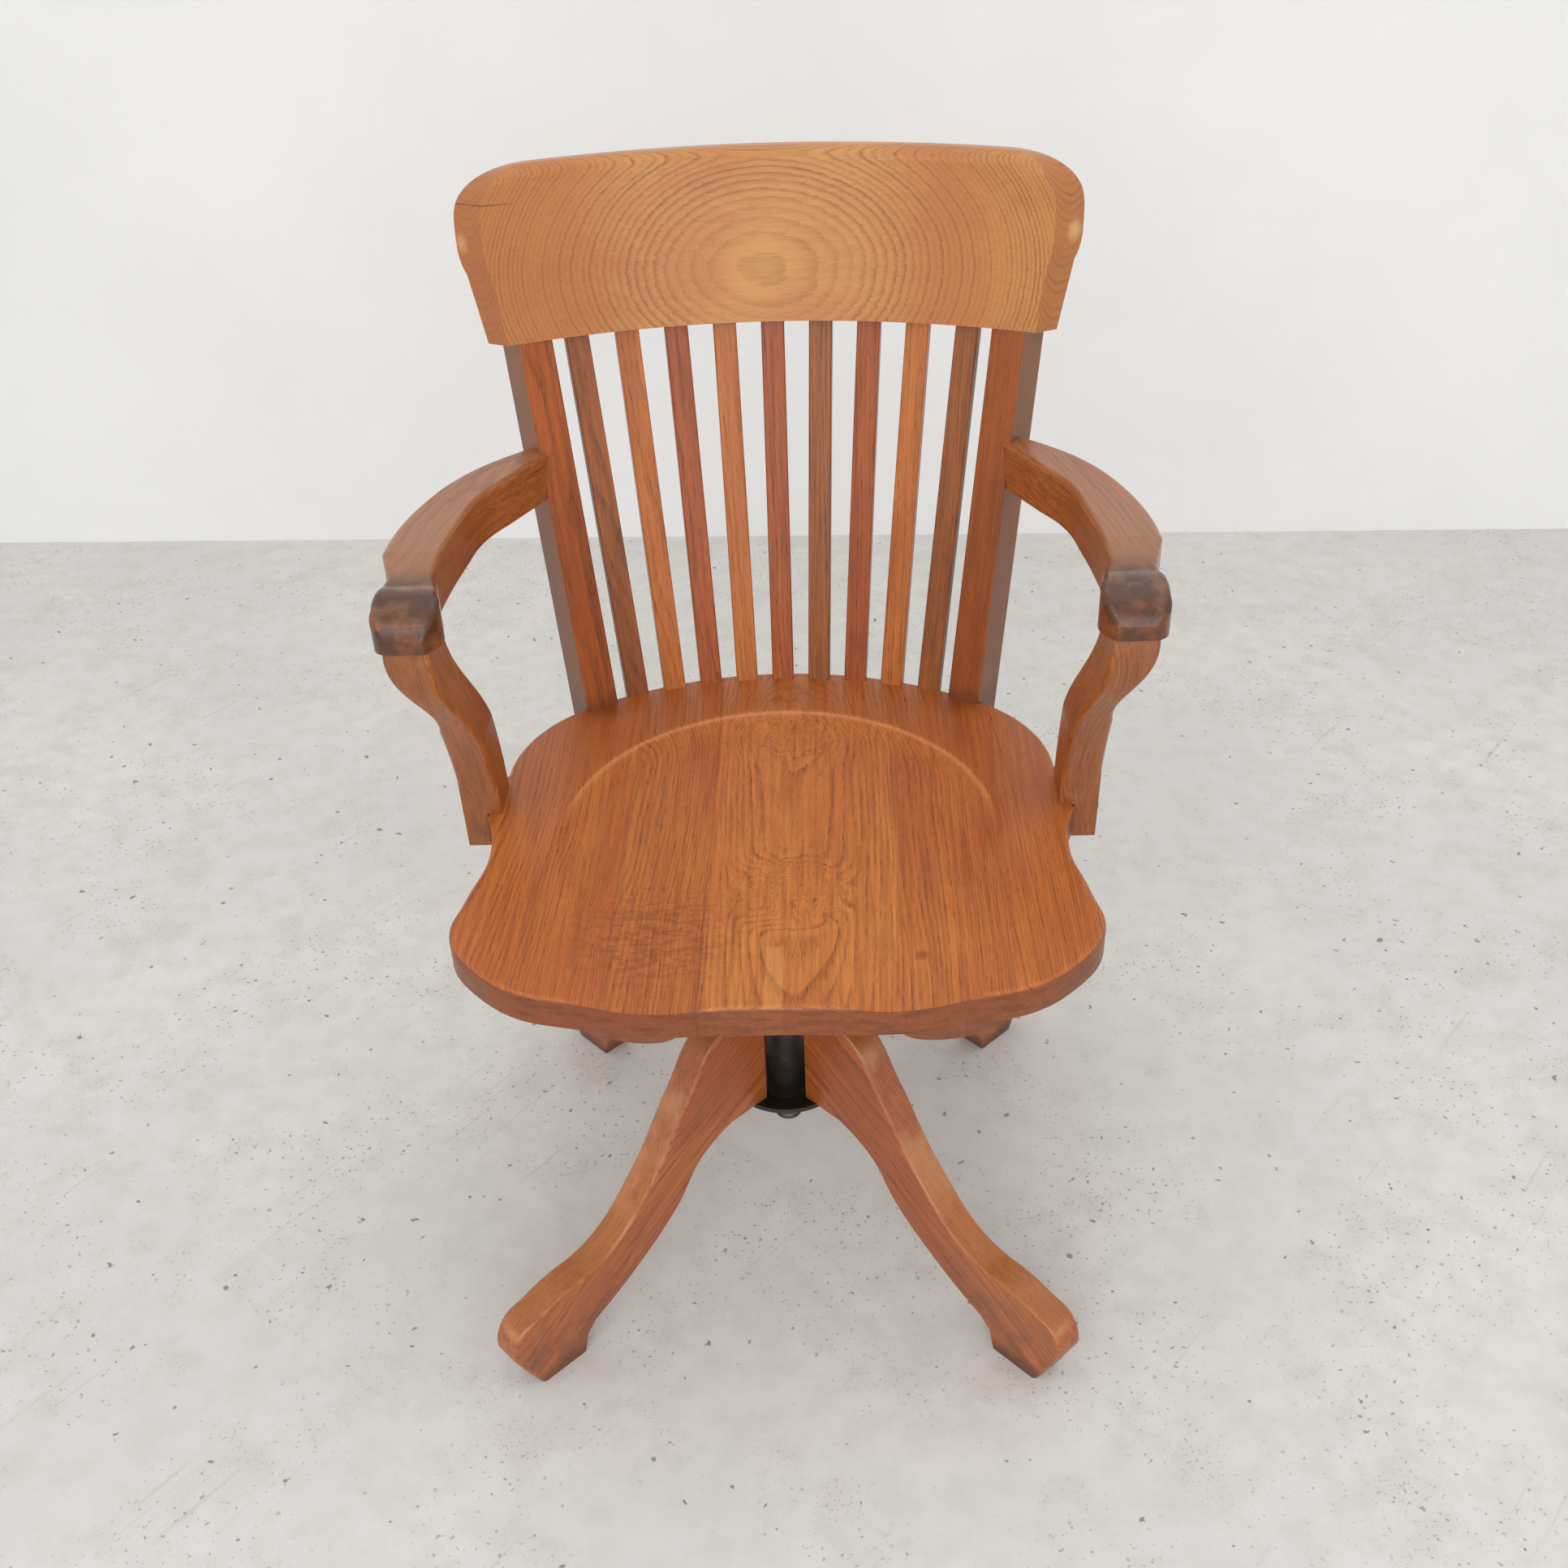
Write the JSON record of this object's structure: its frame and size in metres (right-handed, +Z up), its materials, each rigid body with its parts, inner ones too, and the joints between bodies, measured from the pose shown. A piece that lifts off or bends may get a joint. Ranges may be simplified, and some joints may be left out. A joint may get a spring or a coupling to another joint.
{
  "type": "bankers swivel chair",
  "caption": "Wooden swivel armchair with a scooped seat, slatted back, broad curved arms and a four-legged base on an iron hub with screw height and sprung tilt.",
  "frame": {"origin": "on the swivel axis at floor level", "axes": "+Z up along the swivel axis, the sitter faces -Y, +X to the sitter's left"},
  "size_m": [0.636, 0.6515, 0.8976],
  "materials": {
    "oak_seat": "worn varnish, satin",
    "oak_back": "worn varnish, satin",
    "oak_arms": "worn varnish, satin",
    "oak_legs": "worn varnish, satin",
    "black_iron": "old black paint, satin",
    "worn_steel": "dull, lightly oxidised",
    "screw_steel": "dull"
  },
  "bodies": {
    "base": {"leg_front_left": "oak_legs", "leg_front_right": "oak_legs", "leg_rear_left": "oak_legs", "leg_rear_right": "oak_legs", "hub_dish_plate": "black_iron", "hub_top_plate": "black_iron", "hub_tube": "black_iron", "leg_screws": "screw_steel"},
    "turntable": {"thrust_washer": "worn_steel"},
    "nut": {"height_nut": "black_iron"},
    "spindle": {"height_spindle": "worn_steel", "tilt_yoke": "black_iron"},
    "seat_unit": {"seat": "oak_seat", "crest_rail": "oak_back", "back_post_left": "oak_back", "back_post_right": "oak_back", "slat_1": "oak_back", "slat_2": "oak_back", "slat_3": "oak_back", "slat_4": "oak_back", "slat_5": "oak_back", "slat_6": "oak_back", "slat_7": "oak_back", "slat_8": "oak_back", "slat_9": "oak_back", "arm_left": "oak_arms", "arm_right": "oak_arms", "arm_support_left": "oak_arms", "arm_support_right": "oak_arms", "seat_iron": "black_iron", "pivot_pin": "worn_steel", "rod_pin": "worn_steel", "post_screws": "screw_steel", "support_screws": "screw_steel", "seat_iron_screws": "screw_steel"},
    "tension": {"tension_rod": "worn_steel", "spring_washer": "worn_steel", "tension_spring": "worn_steel"},
    "knob": {"tension_knob": "black_iron"}
  },
  "joints": [
    {"name": "seat_swivel", "type": "hinge", "parent": "base", "child": "turntable", "pos_m": [0, 0, 0.2743], "axis": [0, 0, 1], "continuous": true},
    {"name": "height_nut_turn", "type": "hinge", "parent": "turntable", "child": "nut", "pos_m": [0, 0, 0.2877], "axis": [0, 0, 1], "range_deg": [0, 4810]},
    {"name": "height_lift", "type": "slide", "parent": "turntable", "child": "spindle", "axis": [0, 0, 1], "range_m": [0, 0.08]},
    {"name": "seat_tilt", "type": "hinge", "parent": "spindle", "child": "seat_unit", "pos_m": [0, 0, 0.347], "axis": [-1, 0, 0], "range_deg": [0, 12], "stiffness_Nm_per_rad": 120, "springref_deg": -14.32},
    {"name": "tension_rod_lift", "type": "slide", "parent": "spindle", "child": "tension", "axis": [0, 0, 1], "range_m": [0, 0.0139], "deforming": ["tension_spring"]},
    {"name": "tension_knob_turn", "type": "hinge", "parent": "tension", "child": "knob", "pos_m": [0, -0.066, 0.2795], "axis": [0, 0, 1], "continuous": true}
  ],
  "couplings": [
    {"joint": "height_nut_turn", "follows": "height_lift", "rad_per_m": 1047.2},
    {"joint": "tension_rod_lift", "follows": "seat_tilt", "m_per_rad": 0.066}
  ]
}
